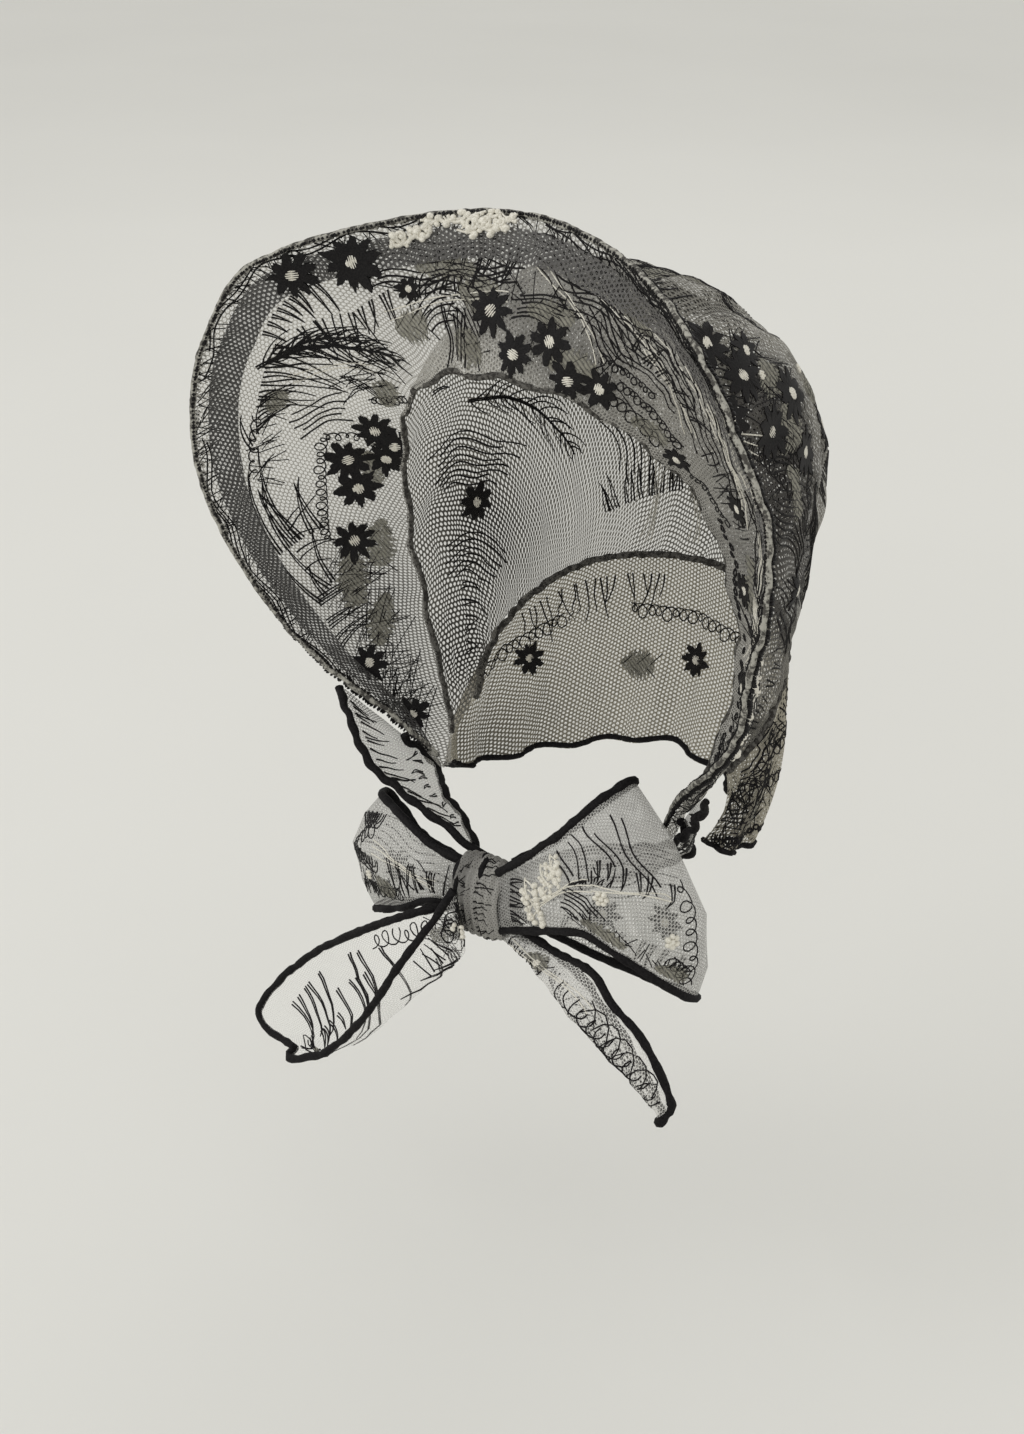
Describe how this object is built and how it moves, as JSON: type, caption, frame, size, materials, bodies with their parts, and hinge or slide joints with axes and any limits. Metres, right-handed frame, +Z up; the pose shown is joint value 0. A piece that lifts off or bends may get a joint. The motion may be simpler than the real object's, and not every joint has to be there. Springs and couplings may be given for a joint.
{
  "type": "lace bonnet with chin ties",
  "caption": "Embroidered tulle bonnet: wide standing brim, puffed crown, ruffled neck curtain, and bound ribbon ties in a bow under the chin.",
  "frame": {"origin": "where the top of the wearer's head meets the inside of the crown", "axes": "+Z up, -Y the way the wearer faces, +X the wearer's left"},
  "size_m": [0.2676, 0.2238, 0.3812],
  "materials": {
    "tulle": "fine ivory and black net with black embroidery",
    "crown_tulle": "two layers of net, darker, with black flowers",
    "curtain_tulle": "gathered net with black strokes",
    "dark_net": "doubled black net",
    "binding": "rolled black edge, matt"
  },
  "bodies": {
    "root": {"brim": "tulle", "rim_band": "dark_net", "crown": "crown_tulle", "neck_curtain": "curtain_tulle", "near_tie": "tulle", "near_tie_binding_top": "binding", "near_tie_binding_low": "binding", "far_tie": "tulle", "far_tie_binding_top": "binding", "far_tie_binding_low": "binding", "knot": "dark_net", "near_loop": "tulle", "near_loop_binding_top": "binding", "near_loop_binding_low": "binding", "far_loop": "tulle", "far_loop_binding_top": "binding", "far_loop_binding_low": "binding", "near_tail": "tulle", "near_tail_binding": "binding", "far_tail": "tulle", "far_tail_binding": "binding"}
  },
  "joints": []
}
